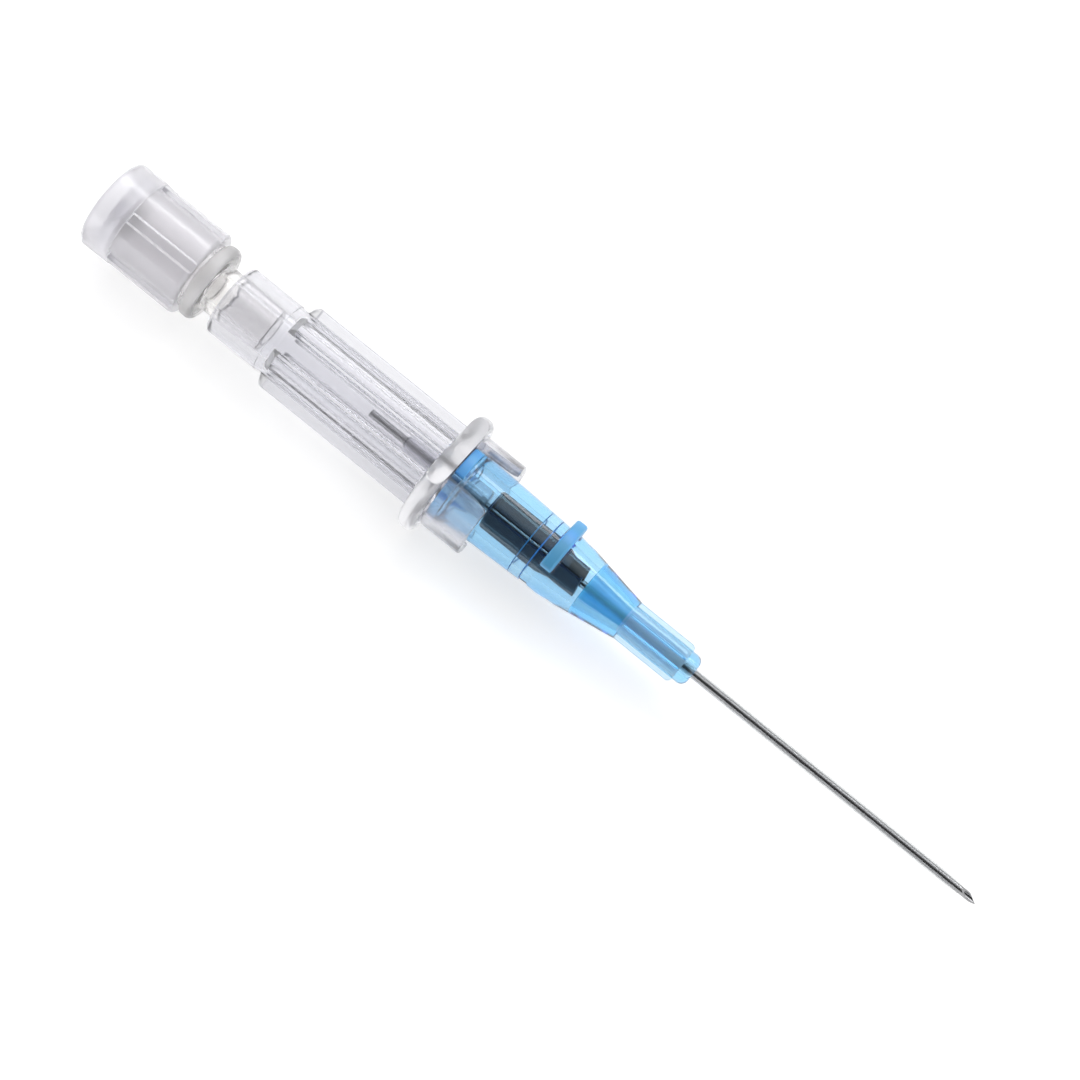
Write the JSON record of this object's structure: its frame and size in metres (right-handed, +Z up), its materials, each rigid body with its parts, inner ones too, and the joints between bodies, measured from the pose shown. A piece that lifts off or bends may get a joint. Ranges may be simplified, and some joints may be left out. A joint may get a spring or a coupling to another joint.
{
  "type": "iv cannula",
  "caption": "Over-needle iv cannula with a blue luer hub, push-off tab, folded needle safety clip, clear ribbed flashback chamber and a clear vent plug that pulls out.",
  "frame": {"origin": "centre of the bounding box's bottom, on the surface that the part lies on", "axes": "+X along the axis towards the needle's point, +Z up through the push-off tab and the bevel"},
  "size_m": [0.0812, 0.01, 0.0074],
  "materials": {
    "clear_cap": "clear moulded, faintly frosted",
    "membrane": "porous, matt",
    "clear_plug": "clear moulded, polished",
    "clear_chamber": "clear moulded, polished",
    "needle_steel": "drawn and polished stainless steel",
    "adhesive": "cured, glossy",
    "blue_hub": "translucent blue, polished",
    "ferrule": "translucent, smooth",
    "tube_wall": "extruded, clear",
    "spring_steel": "rolled and folded stainless strip"
  },
  "bodies": {
    "needle_unit": {"flashback_chamber": "clear_chamber", "needle": "needle_steel", "needle_adhesive": "adhesive"},
    "vent_plug": {"grip_cap": "clear_cap", "vent_membrane": "membrane", "luer_plug": "clear_plug"},
    "catheter": {"catheter_hub": "blue_hub", "tube_ferrule": "ferrule", "catheter_tube": "tube_wall"},
    "clip": {"safety_clip": "spring_steel"}
  },
  "joints": [
    {"name": "vent_plug_pull", "type": "slide", "parent": "needle_unit", "child": "vent_plug", "axis": [-1, 0, 0], "range_m": [0, 0.008]},
    {"name": "catheter_slide", "type": "slide", "parent": "needle_unit", "child": "catheter", "axis": [1, 0, 0], "range_m": [0, 0.053]},
    {"name": "clip_slide", "type": "slide", "parent": "needle_unit", "child": "clip", "axis": [1, 0, 0], "range_m": [0, 0.0403]}
  ],
  "couplings": [
    {"joint": "clip_slide", "follows": "catheter_slide", "ratio": 0.76}
  ]
}
